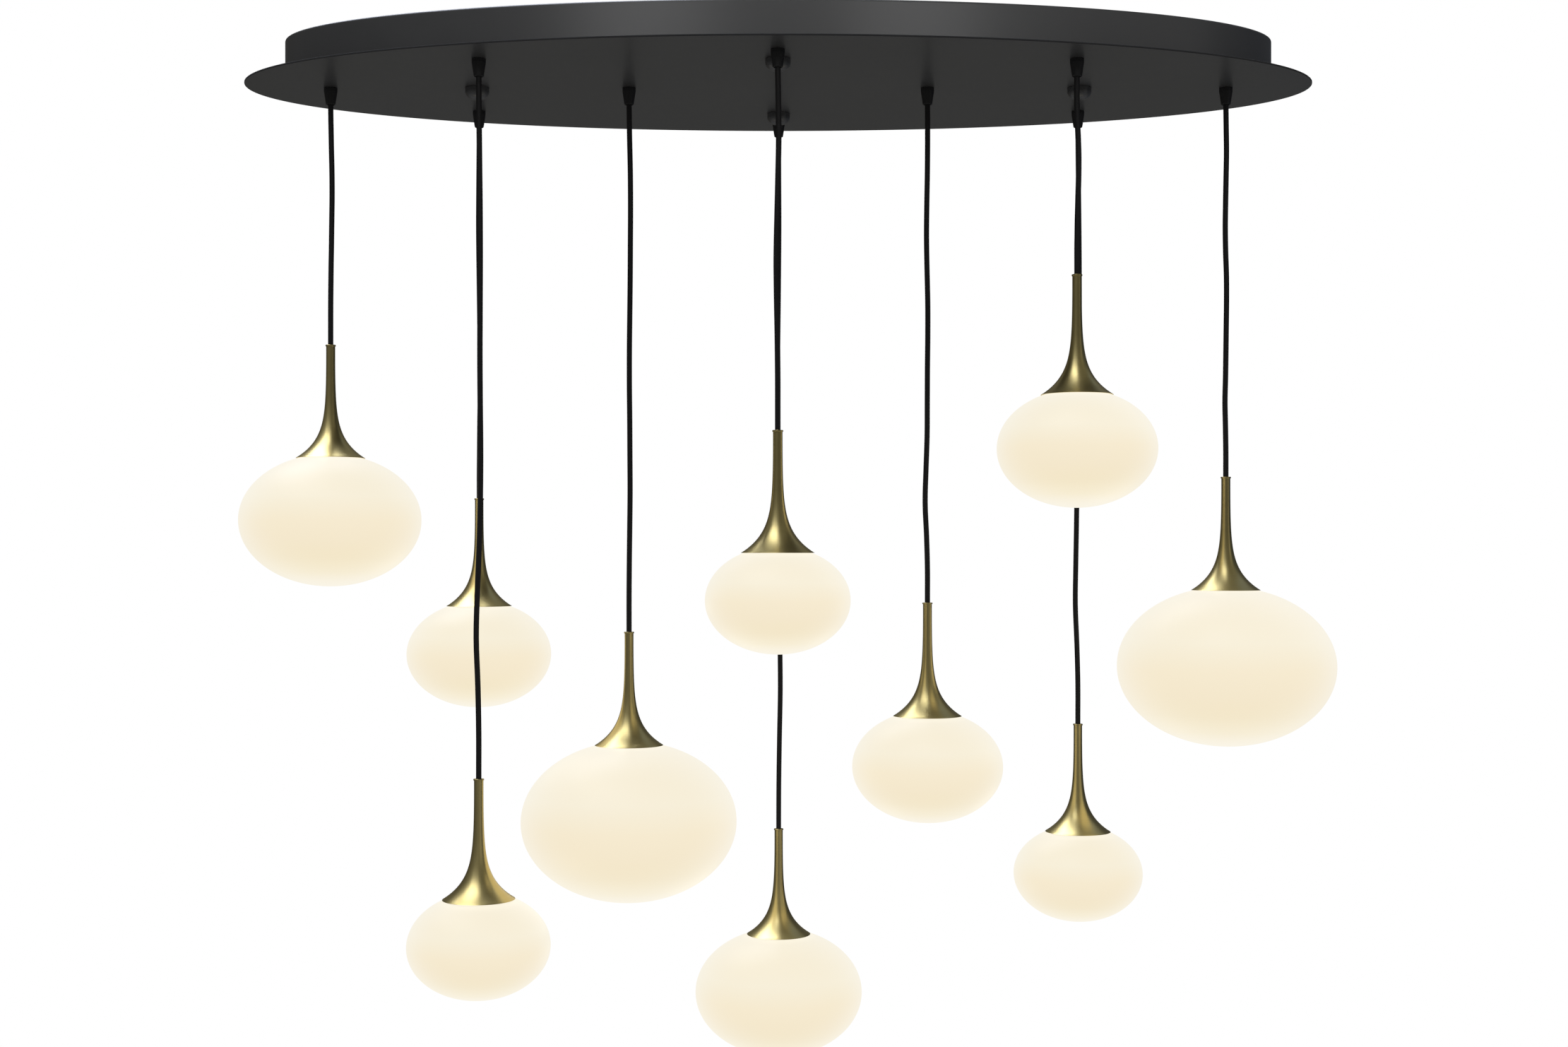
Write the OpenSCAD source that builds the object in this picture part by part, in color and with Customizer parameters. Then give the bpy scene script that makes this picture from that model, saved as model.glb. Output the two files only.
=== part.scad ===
// Cluster pendant light: an oval two-step ceiling canopy from which ten
// opal glass globes hang on round cords under trumpet-shaped brass caps.
// Millimetres, +Z up. The origin is the centre of the fixing bracket's
// ceiling face, so everything hangs below z = 0.

/* [Canopy] */
// Length of the oval bottom plate
plate_l = 1200; // [1150:10:1300]
// Depth of the oval bottom plate
plate_w = 460; // [446:2:520]
// Sheet thickness of the bottom plate
plate_t = 2; // [1.5:0.1:3]
// How far the plate stands out past the wall, all round
step_w = 45; // [35:1:48]
// Height of the wall between ceiling and plate
wall_h = 48; // [46:1:60]
// Sheet thickness of the wall
wall_t = 1.5; // [1:0.1:2]
// Width of the lip that is turned in along the ceiling
lip_w = 10; // [6:1:16]

/* [Ceiling bracket] */
// Width of the bracket's arms
arm_w = 40; // [30:1:50]
// Sheet thickness of the bracket
arm_t = 2.5; // [2:0.1:4]
// Metal left past each stud at an arm's end
arm_end = 20; // [15:1:30]
// Distance between the two slots along the canopy
slot_pitch_x = 500; // [440:5:540]
// Distance between the two slots across the canopy
slot_pitch_y = 180; // [160:2:190]
// End to end length of a slot
slot_l = 25; // [16:1:30]
// Width of a slot
slot_w = 6.5; // [5:0.1:8]
// Hole for the supply cable
entry_d = 20; // [12:1:22]

/* [Fixing studs and cap nuts] */
// Place of the end studs along the canopy
stud_x = 340; // [330:1:350]
// Place of the side studs across the canopy
stud_y = 133; // [128:1:136]
// Stud diameter
stud_d = 6; // [5:0.1:6.5]
// Thread engaged in each cap nut
stud_grip = 8; // [6:0.5:9]
// Cap nut diameter
capnut_d = 27; // [22:1:30]
// Height of the cap nut's straight skirt
capnut_skirt = 4; // [3:0.5:6]
// Height of the cap nut's dome
capnut_dome = 9; // [7:0.5:12]

/* [Pendant layout] */
// Wall to the two outermost pendants
end_room = 48; // [44:0.5:60]
// Wall to the middle pair of pendants
middle_room = 9.5; // [9:0.5:16]
// Wall to the near corner pendants
near_room = 17.4; // [16:0.2:24]
// Wall to the far corner pendants
far_room = 20.8; // [18:0.2:26]
// How far the near corners stand in from their column, and the far ones out
corner_shift = 19; // [0:1:22]
// Plate to cap of pendant 1
drop_1 = 290; // [240:1:340]
// Plate to cap of pendant 2
drop_2 = 460; // [420:1:500]
// Plate to cap of pendant 3
drop_3 = 765; // [730:1:800]
// Plate to cap of pendant 4
drop_4 = 614; // [580:1:650]
// Plate to cap of pendant 5
drop_5 = 397; // [370:1:450]
// Plate to cap of pendant 6
drop_6 = 860; // [820:1:900]
// Plate to cap of pendant 7
drop_7 = 581; // [550:1:620]
// Plate to cap of pendant 8
drop_8 = 229; // [200:1:280]
// Plate to cap of pendant 9
drop_9 = 728; // [690:1:760]
// Plate to cap of pendant 10
drop_10 = 439; // [400:1:480]

/* [Cord and cord grip] */
// Diameter of the round cord
cord_d = 6; // [5:0.1:6.5]
// Grip diameter at the plate
grip_d = 15; // [13:0.5:17]
// Height of the grip's straight collar
grip_collar = 4; // [3:0.5:6]
// Height of the grip below the plate
grip_h = 19; // [17:1:24]
// Grip diameter at its mouth
grip_tip_d = 10; // [9.6:0.1:12]
// Flare of the mouth, on radius
mouth_flare = 0.9; // [0.8:0.1:1.2]
// Depth of the flared mouth
mouth_h = 3; // [2:0.5:3]
// Thread that passes through the plate
grip_thread_d = 9.8; // [9.4:0.1:10.4]
// Hexagon nut on that thread, across corners
locknut_d = 16; // [14:0.5:16.5]
// Height of the hexagon nut
locknut_h = 3; // [2:0.5:4]

/* [Trumpet cap] */
// Height of the cap
cap_h = 128; // [118:1:145]
// Diameter of the cap's stem
cap_stem_d = 10; // [9:0.1:12]
// Diameter of the cap's rim
cap_rim_d = 77; // [70:1:84]
// How much of the spread is a slow cone, on radius
cap_cone = 8; // [6:0.5:10]
// Sheet thickness of the cap
cap_wall = 1; // [0.6:0.1:1.2]
// Width of the bead round the stem's top
bead_w = 0.7; // [0.5:0.1:1.2]
// Height of that bead
bead_h = 1.8; // [1:0.1:3]

/* [Glass globes] */
// Small globe diameter
globe_s = 152; // [140:1:160]
// Medium globe diameter
globe_m = 170; // [162:1:180]
// Large globe diameter
globe_l = 202; // [190:1:215]
// Extra large globe diameter
globe_xl = 243; // [230:1:250]
// Height of a globe as a share of its diameter
globe_ratio = 0.74; // [0.68:0.01:0.8]
// Thickness of the blown glass
glass_t = 3; // [2:0.1:4]
// Outer diameter of the glass neck
neck_d = 34; // [32:0.5:36]
// Height of the neck above the cap's rim
neck_rise = 15; // [13:0.5:16]

/* [Lamp holder and bulb] */
// Diameter of the holder's upper barrel
barrel_d = 18; // [16:0.5:19]
// Height of the holder above its flange
barrel_h = 18; // [16:0.5:20]
// Thickness of the flange that stops the neck
flange_t = 3; // [2:0.5:4]
// Wall of the threaded skirt
skirt_t = 3.5; // [2.5:0.5:4]
// Bulb diameter
bulb_d = 16; // [14:0.5:17]
// Bulb below the cap's rim
bulb_hang = 40; // [30:1:42]
// Bulb base inside the holder's socket
bulb_seat = 8; // [6:0.5:10]
// Distance between the bulb's two pins
pin_pitch = 9; // [8:0.5:10]
// Length of the pins
pin_l = 6; // [4:0.5:8]

/* [Junction box and leads] */
// Length of the junction box
box_l = 90; // [84:1:100]
// Depth of the junction box
box_w = 50; // [46:1:56]
// Height of the junction box
box_h = 28; // [27:0.5:30]
// Wall of the junction box
box_t = 2; // [1.5:0.1:2.5]
// Depth of the upper row of leads below the ceiling
lead_high = 12; // [11:0.5:13]
// Depth of the lower row of leads below the ceiling
lead_low = 22; // [21:0.5:23]
// Bend radius of a lead above its grip
lead_bend = 18; // [16:0.5:19]

/* [Fits] */
// Gap round a cord in a hole that guides it
cord_gap = 0.3; // [0.3:0.05:0.5]
// Gap between the glass and what it is fitted to
glass_gap = 0.3; // [0.3:0.05:0.6]
// Gap round a thread in a nut, on radius
thread_gap = 0.1; // [0.05:0.05:0.2]
// Gap round a screw or thread in sheet metal, on radius
hole_gap = 0.3; // [0.2:0.05:0.5]
// Gap between the cord's free end and the lead above it
swing_gap = 0.7; // [0.7:0.1:1]

/* [Hidden] */
$fn = 64;

// Canopy levels and half axes
canopy_h = wall_h + plate_t;
plate_a = plate_l / 2;
plate_b = plate_w / 2;
wall_a = plate_a - step_w;
wall_b = plate_b - step_w;
oval_steps = 120;

// Places of the pendants: columns of equal pitch, the outermost ones at
// their room from the wall, and the near and far pendants at theirs
col_pitch = (wall_a - wall_t - end_room) / 3;
near_x = 2 * col_pitch - corner_shift;
far_x = 2 * col_pitch + corner_shift;
middle_y = wall_inside(0) - middle_room;
near_y = wall_inside(near_x) - near_room;
far_y = wall_inside(far_x) - far_room;
function wall_inside(x) = (wall_b - wall_t) * sqrt(1 - pow(x / (wall_a - wall_t), 2));

// Each pendant: place, drop, globe diameter, then the point at the
// junction box where its lead goes in, and that lead's depth
box_x = box_l / 2;
box_y = box_w / 2;
PENDANTS = [
    [[-3 * col_pitch, 0], drop_1, globe_l, [-box_x, 20], lead_low],
    [[-far_x, far_y], drop_2, globe_m, [-box_x, 16], lead_high],
    [[-near_x, -near_y], drop_3, globe_s, [-box_x, -16], lead_high],
    [[-col_pitch, 0], drop_4, globe_xl, [-box_x, 0], lead_low],
    [[0, -middle_y], drop_5, globe_s, [30, -box_y], lead_low],
    [[0, middle_y], drop_6, globe_l, [-30, box_y], lead_low],
    [[col_pitch, 0], drop_7, globe_m, [box_x, 0], lead_low],
    [[near_x, -near_y], drop_8, globe_m, [box_x, -16], lead_high],
    [[far_x, far_y], drop_9, globe_s, [box_x, 16], lead_high],
    [[3 * col_pitch, 0], drop_10, globe_xl, [box_x, -20], lead_low]
];
function place(i) = PENDANTS[i - 1][0];
function drop(i) = PENDANTS[i - 1][1];
function globe_r(i) = PENDANTS[i - 1][2] / 2;
function lead_goal(i) = PENDANTS[i - 1][3];
function lead_way(i) = lead_goal(i) - place(i);
function lead_z(i) = -PENDANTS[i - 1][4];
into_box = 6;

// Sideways sway of each cord, left to right and front to back, at equal
// steps from the grip's mouth to the cap
SWAY = [
    [[0, 0.2, 0.5, 0.8, 1.2, 1.4, 1.4, 1.2, 1, 0.8, 0.5, 0.3, 0.1, 0, 0, 0],
     [0, 0, 0.2, 0.4, 0.6, 0.8, 0.8, 0.6, 0.4, 0.2, 0, 0, 0, 0, 0, 0]],
    [[0, -0.2, -0.5, -0.8, -1, -0.8, -0.4, 0, 0.4, 0.8, 1, 1, 0.6, 0.3, 0, 0],
     [0, 0, 0.3, 0.6, 1, 1.2, 1.2, 1, 0.8, 0.4, 0, -0.3, -0.3, -0.2, 0, 0]],
    [[0, 0.4, 1, 1.6, 1.8, 1.6, 1.4, 1.6, 2, 1.6, 0.4, -1.6, -2.8, -1, 0, 0],
     [0, 0, -0.4, -1, -1.4, -1.4, -1, -0.4, 0, 0.6, 1, 1, 0.6, 0.2, 0, 0]],
    [[0, 0.6, 1.4, 1.6, 1.4, 1.2, 0.8, 0.4, 0.4, 0.8, 1, 1.2, 0.8, 0.3, 0, 0],
     [0, 0, 0.4, 0.8, 1, 0.8, 0.4, 0, -0.4, -0.6, -0.6, -0.4, -0.2, 0, 0, 0]],
    [[0, 0.4, 0.8, 1, 0.6, 0, -0.6, -1.2, -1.6, -1.4, -1, -0.5, -0.2, 0, 0, 0],
     [0, 0, 0.2, 0.6, 0.8, 1, 0.8, 0.4, 0, -0.3, -0.4, -0.3, -0.1, 0, 0, 0]],
    [[0, 0.2, 0.4, 0, -0.6, -1.2, -1.4, -1, -0.2, 0.6, 1.2, 1.6, 2, 1, 0.2, 0],
     [0, 0.4, 1, 1.4, 1.4, 1, 0.4, -0.2, -0.8, -1, -0.8, -0.4, 0, 0, 0, 0]],
    [[0, 0.2, 0, -0.6, -1, -0.4, 0.4, 0.4, 0, -0.2, -0.4, -1.6, -2.6, -1, 0, 0],
     [0, 0, 0.4, 0.8, 1, 1, 0.6, 0.2, 0, -0.2, -0.2, 0, 0, 0, 0, 0]],
    [[0, -0.2, -0.2, 0.2, 0.8, 1.4, 1.8, 1.8, 1.6, 1.2, 0.8, 0.4, 0.2, 0, 0, 0],
     [0, 0, 0, 0.2, 0.4, 0.4, 0.2, 0, 0, 0, 0, 0, 0, 0, 0, 0]],
    [[0, 0.4, 1, 1.4, 1.6, 1.6, 1.2, 0.4, -0.4, -1, -1.6, -2.4, -3, -1.2, 0, 0],
     [0, 0, -0.2, -0.6, -1, -1.2, -1, -0.6, -0.2, 0.2, 0.4, 0.4, 0.2, 0, 0, 0]],
    [[0, 0.4, 0.8, 0.4, 0, -0.4, 0, 0.8, 0.8, 0.4, 0, -0.4, -1, -0.4, 0, 0],
     [0, 0, 0.2, 0.6, 1, 1, 0.8, 0.4, 0, -0.2, -0.4, -0.4, -0.2, 0, 0, 0]]
];
sway_steps = 15;
tube_sides = 8;

// Cord grip levels: the cord's free end turns at the top of the flared
// mouth, and the lead above it ends a little higher
mouth_z = -canopy_h - grip_h;
pivot_z = mouth_z + mouth_h;
cord_r = cord_d / 2;
guide_r = cord_r + cord_gap;
thread_top = -wall_h + locknut_h + 4;

// Cap outline: a straight stem that opens in a slow cone and then a
// steep bell, with t running from 0 at the stem's top to 1 at the rim
stem_r = cap_stem_d / 2;
bell = cap_rim_d / 2 - stem_r - cap_cone;
cone_power = 3;
bell_power = 7;
cap_steps = 24;
function flare(t) = stem_r + cap_cone * pow(t, cone_power) + bell * pow(t, bell_power);
function flare_slope(t) = (cone_power * cap_cone * pow(t, cone_power - 1)
    + bell_power * bell * pow(t, bell_power - 1)) / cap_h;
function flare_in(t) = flare(t) - cap_wall * sqrt(1 + pow(flare_slope(t), 2));
function cap_in_above_rim(rise) = flare_in(1 - rise / cap_h);
guide_h = 6;

// Globe outline: heights are counted from the globe's centre
neck_r = neck_d / 2;
neck_in = neck_r - glass_t;
function arc_z(a, b, r) = b * sqrt(1 - pow(r / a, 2));
function rim_seat(a) = arc_z(a, a * globe_ratio, flare_in(1)) + glass_gap;
globe_steps = 20;

// Holder levels are counted from the cap's rim
flange_z = neck_rise + glass_gap;
flange_top = flange_z + flange_t;
flange_r = cap_in_above_rim(flange_top) - 0.25;
barrel_top = flange_top + barrel_h;
skirt_r = neck_in - glass_gap;
skirt_in = skirt_r - skirt_t;
skirt_low = -1;
socket_low = 9;
socket_gap = 0.25;
pin_r = 0.9;
pin_gap = 0.2;

module oval(a, b) {
    polygon([for (k = [0:oval_steps - 1])
        [a * cos(360 * k / oval_steps), b * sin(360 * k / oval_steps)]]);
}

// A cylinder of a given height that stands on a given level
module rod(r, low, high) {
    translate([0, 0, low])
        cylinder(r = r, h = high - low);
}

module at_pendants() {
    for (p = PENDANTS)
        translate([p[0][0], p[0][1], 0])
            children();
}

module at_studs() {
    for (p = [[stud_x, 0], [-stud_x, 0], [0, stud_y], [0, -stud_y]])
        translate([p[0], p[1], 0])
            children();
}

module canopy_plate() {
    color("#303031")
        difference() {
            translate([0, 0, -canopy_h])
                linear_extrude(plate_t)
                    oval(plate_a, plate_b);
            at_pendants()
                rod(grip_thread_d / 2 + hole_gap, -canopy_h - 1, -wall_h + 1);
            at_studs()
                rod(stud_d / 2 + hole_gap, -canopy_h - 1, -wall_h + 1);
        }
}

module canopy_wall() {
    color("#3c3c3d") {
        translate([0, 0, -wall_h])
            linear_extrude(wall_h - wall_t)
                difference() {
                    oval(wall_a, wall_b);
                    oval(wall_a - wall_t, wall_b - wall_t);
                }
        translate([0, 0, -wall_t])
            linear_extrude(wall_t)
                difference() {
                    oval(wall_a, wall_b);
                    oval(wall_a - lip_w, wall_b - lip_w);
                }
    }
}

// A slot along X, cut through the bracket
module slot() {
    for (side = [-1, 1])
        translate([side * (slot_l - slot_w) / 2, 0, 0])
            rod(slot_w / 2, -arm_t - 1, 1);
    translate([-(slot_l - slot_w) / 2, -slot_w / 2, -arm_t - 1])
        cube([slot_l - slot_w, slot_w, arm_t + 2]);
}

module ceiling_bracket() {
    color("#b4b8bb")
        difference() {
            union() {
                translate([-stud_x - arm_end, -arm_w / 2, -arm_t])
                    cube([2 * (stud_x + arm_end), arm_w, arm_t]);
                translate([-arm_w / 2, -stud_y - arm_end, -arm_t])
                    cube([arm_w, 2 * (stud_y + arm_end), arm_t]);
            }
            rod(entry_d / 2, -arm_t - 1, 1);
            for (side = [-1, 1]) {
                translate([side * slot_pitch_x / 2, 0, 0])
                    slot();
                translate([0, side * slot_pitch_y / 2, 0])
                    rotate([0, 0, 90])
                        slot();
            }
        }
}

module bracket_studs() {
    color("#c2c4c6")
        at_studs()
            rod(stud_d / 2, -canopy_h - stud_grip, -arm_t);
}

// Domed cap nut: a straight skirt under a flattened dome, with a blind
// threaded hole
module cap_nuts() {
    bore_r = stud_d / 2 + thread_gap;
    bore_end = stud_grip + 1;
    r = capnut_d / 2;
    flat = 0.25;
    color("#363637")
        at_studs()
            translate([0, 0, -canopy_h])
                rotate_extrude()
                    polygon(concat(
                        [[bore_r, 0], [r, 0], [r, -capnut_skirt]],
                        [for (k = [1:9])
                            [r * (flat + (1 - flat) * cos(10 * k)),
                             -capnut_skirt - capnut_dome * sin(10 * k)]],
                        [[0, -capnut_skirt - capnut_dome], [0, -bore_end], [bore_r, -bore_end]]
                    ));
}

// Tapered grip under the plate, its thread through the plate, and the
// bore that the cord comes out of, flared at the mouth
module cord_grips() {
    color("#0d0d0e")
        at_pendants()
            rotate_extrude()
                polygon([
                    [guide_r, thread_top],
                    [grip_thread_d / 2, thread_top],
                    [grip_thread_d / 2, -canopy_h],
                    [grip_d / 2, -canopy_h],
                    [grip_d / 2, -canopy_h - grip_collar],
                    [grip_tip_d / 2 + 0.4, mouth_z + 1.2],
                    [grip_tip_d / 2, mouth_z],
                    [guide_r + mouth_flare, mouth_z],
                    [guide_r, pivot_z]
                ]);
}

module grip_locknuts() {
    color("#17181a")
        at_pendants()
            difference() {
                translate([0, 0, -wall_h])
                    cylinder(d = locknut_d, h = locknut_h, $fn = 6);
                rod(grip_thread_d / 2 + thread_gap, -wall_h - 1, -wall_h + locknut_h + 1);
            }
}

// A tube through the given centres; each ring lies across the tube, on
// the given side direction and on Y
module tube(centres, sides, r) {
    rings = len(centres);
    n = tube_sides;
    wall = [for (k = [0:rings - 1])
        for (s = [0:n - 1])
            centres[k] + r * (cos(360 * s / n) * sides[k] + sin(360 * s / n) * [0, 1, 0])];
    polyhedron(wall, concat(
        [[for (s = [0:n - 1]) n - 1 - s]],
        [for (k = [0:rings - 2])
            for (s = [0:n - 1])
                [k * n + s, k * n + (s + 1) % n, (k + 1) * n + (s + 1) % n, (k + 1) * n + s]],
        [[for (s = [0:n - 1]) (rings - 1) * n + s]]
    ));
}

// The level stretch of a lead, from its bend's middle into the box
module lead_run(i, r) {
    translate([place(i)[0], place(i)[1], lead_z(i)])
        rotate([0, 0, atan2(lead_way(i)[1], lead_way(i)[0])])
            rotate([0, 90, 0])
                cylinder(r = r, h = norm(lead_way(i)) + into_box);
}

// A lead rises from the grip, turns through a quarter circle and runs
// level to the junction box
module inner_lead(i) {
    bend_steps = 6;
    foot = lead_z(i) - lead_bend;
    turn = [for (k = [0:bend_steps]) 90 * k / bend_steps];
    translate([place(i)[0], place(i)[1], 0])
        rotate([0, 0, atan2(lead_way(i)[1], lead_way(i)[0])])
            tube(
                concat(
                    [[0, 0, pivot_z + swing_gap]],
                    [for (v = turn) [lead_bend * (1 - cos(v)), 0, foot + lead_bend * sin(v)]],
                    [[norm(lead_way(i)) + into_box, 0, lead_z(i)]]
                ),
                concat([[-1, 0, 0]], [for (v = turn) [-cos(v), 0, sin(v)]], [[0, 0, 1]]),
                cord_r
            );
}

module inner_leads() {
    color("#1d1d1f")
        for (i = [1:10])
            inner_lead(i);
}

// Tray under the bracket with a terminal rail inside, open below
module junction_box() {
    top = -arm_t;
    rail_l = 36;
    rail_w = 9;
    rail_h = 8;
    color("#d8d6cf")
        difference() {
            translate([-box_x, -box_y, top - box_h])
                cube([box_l, box_w, box_h]);
            difference() {
                translate([-box_x + box_t, -box_y + box_t, top - box_h - 1])
                    cube([box_l - 2 * box_t, box_w - 2 * box_t, box_h - box_t + 1]);
                translate([-rail_l / 2, box_y - box_t - rail_w, top - box_t - rail_h])
                    cube([rail_l, rail_w, rail_h]);
            }
            rod(entry_d / 2 + 1, top - box_t - 1, top + 1);
            for (i = [1:10])
                lead_run(i, guide_r);
        }
}

module junction_cover() {
    top = -arm_t - box_h;
    inset = box_t + 0.3;
    rim_h = 2.5;
    rim_t = 1.5;
    color("#cfcdc6") {
        translate([-box_x, -box_y, top - box_t])
            cube([box_l, box_w, box_t]);
        translate([0, 0, top])
            linear_extrude(rim_h)
                difference() {
                    square([box_l - 2 * inset, box_w - 2 * inset], center = true);
                    square([box_l - 2 * (inset + rim_t), box_w - 2 * (inset + rim_t)], center = true);
                }
    }
}

// Points down one cord: the swaying free stretch to the top of the cap,
// then straight down inside the stem to the lamp holder
function cord_points(i) = concat(
    [for (k = [0:sway_steps])
        [place(i)[0] + SWAY[i - 1][0][k],
         place(i)[1] + SWAY[i - 1][1][k],
         pivot_z + (cap_top(i) - pivot_z) * k / sway_steps]],
    [[place(i)[0], place(i)[1], cap_top(i) - cap_h + barrel_top]]
);
function cap_top(i) = -canopy_h - drop(i);

// A round cord swept along its points with level rings
module cord(i) {
    path = cord_points(i);
    color("#141415")
        tube(path, [for (p = path) [1, 0, 0]], cord_r);
}

// Spun brass trumpet: the outside follows the flare, the inside keeps
// the sheet's thickness, and the stem's top guides the cord
module trumpet_cap(i) {
    outside = [for (k = [0:cap_steps])
        if (cap_h * k / cap_steps > bead_h) [flare(k / cap_steps), -cap_h * k / cap_steps]];
    inside = [for (k = [cap_steps:-1:0])
        if (cap_h * k / cap_steps > guide_h) [flare_in(k / cap_steps), -cap_h * k / cap_steps]];
    color("#8f7e45")
        translate([place(i)[0], place(i)[1], cap_top(i)])
            rotate_extrude()
                polygon(concat(
                    [[stem_r + bead_w, 0], [stem_r + bead_w, -bead_h], [stem_r, -bead_h]],
                    outside,
                    inside,
                    [[flare_in(guide_h / cap_h), -guide_h], [guide_r, -guide_h], [guide_r, 0]]
                ));
}

// Flattened opal globe with a straight neck that the holder's skirt
// screws into
module globe(i) {
    a = globe_r(i);
    b = a * globe_ratio;
    a_in = a - glass_t;
    b_in = b - glass_t;
    neck_top = rim_seat(a) + neck_rise;
    out_end = acos(neck_r / a);
    in_end = acos(neck_in / a_in);
    color("#f6ecd6")
        translate([place(i)[0], place(i)[1], cap_top(i) - cap_h - rim_seat(a)])
            rotate_extrude()
                polygon(concat(
                    [for (k = [0:globe_steps])
                        let (v = -90 + (out_end + 90) * k / globe_steps)
                            [max(0, a * cos(v)), b * sin(v)]],
                    [[neck_r, neck_top], [neck_in, neck_top]],
                    [for (k = [globe_steps:-1:0])
                        let (v = -90 + (in_end + 90) * k / globe_steps)
                            [max(0, a_in * cos(v)), b_in * sin(v)]]
                ));
}

// Holder: a threaded skirt inside the glass neck, a flange that stops
// the neck and carries the cap, and a barrel up to the cord
module lamp_holder(i) {
    socket_r = bulb_d / 2 + socket_gap;
    socket_top = socket_low + bulb_seat + socket_gap;
    color("#e6e2d8")
        translate([place(i)[0], place(i)[1], cap_top(i) - cap_h])
            difference() {
                rotate_extrude()
                    polygon([
                        [0, barrel_top],
                        [guide_r + 1.5, barrel_top],
                        [barrel_d / 2, barrel_top - 4],
                        [barrel_d / 2, flange_top],
                        [flange_r, flange_top],
                        [flange_r, flange_z],
                        [skirt_r, flange_z],
                        [skirt_r, skirt_low],
                        [skirt_in, skirt_low],
                        [skirt_in, socket_low],
                        [socket_r, socket_low],
                        [socket_r, socket_top],
                        [0, socket_top]
                    ]);
                for (side = [-1, 1])
                    translate([side * pin_pitch / 2, 0, 0])
                        rod(pin_r + pin_gap, socket_top - 1, socket_top + pin_l);
            }
}

// Capsule bulb on two pins
module bulb(i) {
    r = bulb_d / 2;
    top = socket_low + bulb_seat;
    color("#fff6e0")
        translate([place(i)[0], place(i)[1], cap_top(i) - cap_h]) {
            rotate_extrude()
                polygon(concat(
                    [[0, top], [r, top], [r, -bulb_hang + r]],
                    [for (k = [1:8]) [r * cos(11.25 * k), -bulb_hang + r - r * sin(11.25 * k)]]
                ));
            for (side = [-1, 1])
                translate([side * pin_pitch / 2, 0, 0])
                    rod(pin_r, top - 1, top + pin_l);
        }
}

canopy_plate();
canopy_wall();
ceiling_bracket();
bracket_studs();
cap_nuts();
cord_grips();
grip_locknuts();
junction_box();
junction_cover();
inner_leads();
for (i = [1:10]) {
    cord(i);
    trumpet_cap(i);
    globe(i);
    lamp_holder(i);
    bulb(i);
}
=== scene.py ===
"""Looks of the cluster pendant light: an oval two-step canopy, ten cords, brass trumpet caps and
lit opal globes. Shapes are worked out in millimetres, as in the part's source, and turned to
metres where a piece is made."""
import math

import bmesh
import bpy
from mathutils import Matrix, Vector


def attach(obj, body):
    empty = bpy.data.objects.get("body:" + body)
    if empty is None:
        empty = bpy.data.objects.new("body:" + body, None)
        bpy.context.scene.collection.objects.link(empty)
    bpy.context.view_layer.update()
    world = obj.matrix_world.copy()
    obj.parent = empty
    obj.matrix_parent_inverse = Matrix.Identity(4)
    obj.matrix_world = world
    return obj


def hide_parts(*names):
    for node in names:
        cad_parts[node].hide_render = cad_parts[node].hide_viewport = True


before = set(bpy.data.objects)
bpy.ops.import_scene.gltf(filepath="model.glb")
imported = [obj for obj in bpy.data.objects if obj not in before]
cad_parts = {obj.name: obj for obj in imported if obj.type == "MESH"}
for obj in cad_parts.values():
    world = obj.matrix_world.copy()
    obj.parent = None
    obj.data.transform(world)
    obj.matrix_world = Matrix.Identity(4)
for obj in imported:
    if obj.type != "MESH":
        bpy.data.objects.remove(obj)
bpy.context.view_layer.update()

MM = 0.001
scene = bpy.context.scene
scene.view_settings.view_transform = "Standard"

# Camera: level, square on to the canopy, with the horizon a little below the frame's middle
PHOTO_W, PHOTO_H = 2220, 1482
HORIZON_ROW = 784
CAMERA_AT = (0.0065, -2.258, -0.576)
camera_data = bpy.data.cameras.new("photo_camera")
camera_data.sensor_width = 36
camera_data.lens = 45.9
camera_data.shift_y = (HORIZON_ROW - PHOTO_H / 2) / PHOTO_W
camera = bpy.data.objects.new("photo_camera", camera_data)
camera.location = CAMERA_AT
camera.rotation_euler = (math.pi / 2, 0, 0)
scene.collection.objects.link(camera)
scene.camera = camera

# Sizes, in millimetres, as in the part's source
PLATE_A, PLATE_B, PLATE_T = 600, 230, 2
STEP_W = 45
WALL_H, WALL_T, LIP_W = 48, 1.5, 10
CANOPY_H = WALL_H + PLATE_T
WALL_A, WALL_B = PLATE_A - STEP_W, PLATE_B - STEP_W
STUD_X, STUD_Y, STUD_R, STUD_GRIP = 340, 133, 3, 8
STUD_PITCH, STUD_CUT = 1, 0.45
NUT_R, NUT_SKIRT, NUT_DOME, NUT_FLAT = 13.5, 4, 9, 0.25
ARM_W, ARM_T, ARM_END = 40, 2.5, 20
SLOT_L, SLOT_W, SLOT_X, SLOT_Y, ENTRY_R = 25, 6.5, 250, 90, 10
HOLE_GAP, THREAD_GAP = 0.3, 0.1
CORD_R, CORD_GAP = 3, 0.3
GUIDE_R = CORD_R + CORD_GAP
GRIP_R, GRIP_COLLAR, GRIP_H, GRIP_TIP_R = 7.5, 4, 19, 5
MOUTH_FLARE, MOUTH_H = 0.9, 3
THREAD_R, THREAD_FREE, LOCKNUT_R, LOCKNUT_H = 4.9, 4, 8, 3
CAP_H, STEM_R, RIM_R, CAP_CONE, CAP_WALL = 128, 5, 38.5, 8, 1
BEAD_W, BEAD_H, GUIDE_H = 0.7, 1.8, 6
GLOBE_FLAT, GLASS_T, GLASS_GAP, NECK_R, NECK_RISE = 0.74, 3, 0.3, 17, 15
MOUTH_Z = -CANOPY_H - GRIP_H
PIVOT_Z = MOUTH_Z + MOUTH_H
BOX_X, BOX_Y, INTO_BOX = 45, 25, 6
LEAD_HIGH, LEAD_LOW, LEAD_BEND = 12, 22, 18


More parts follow.
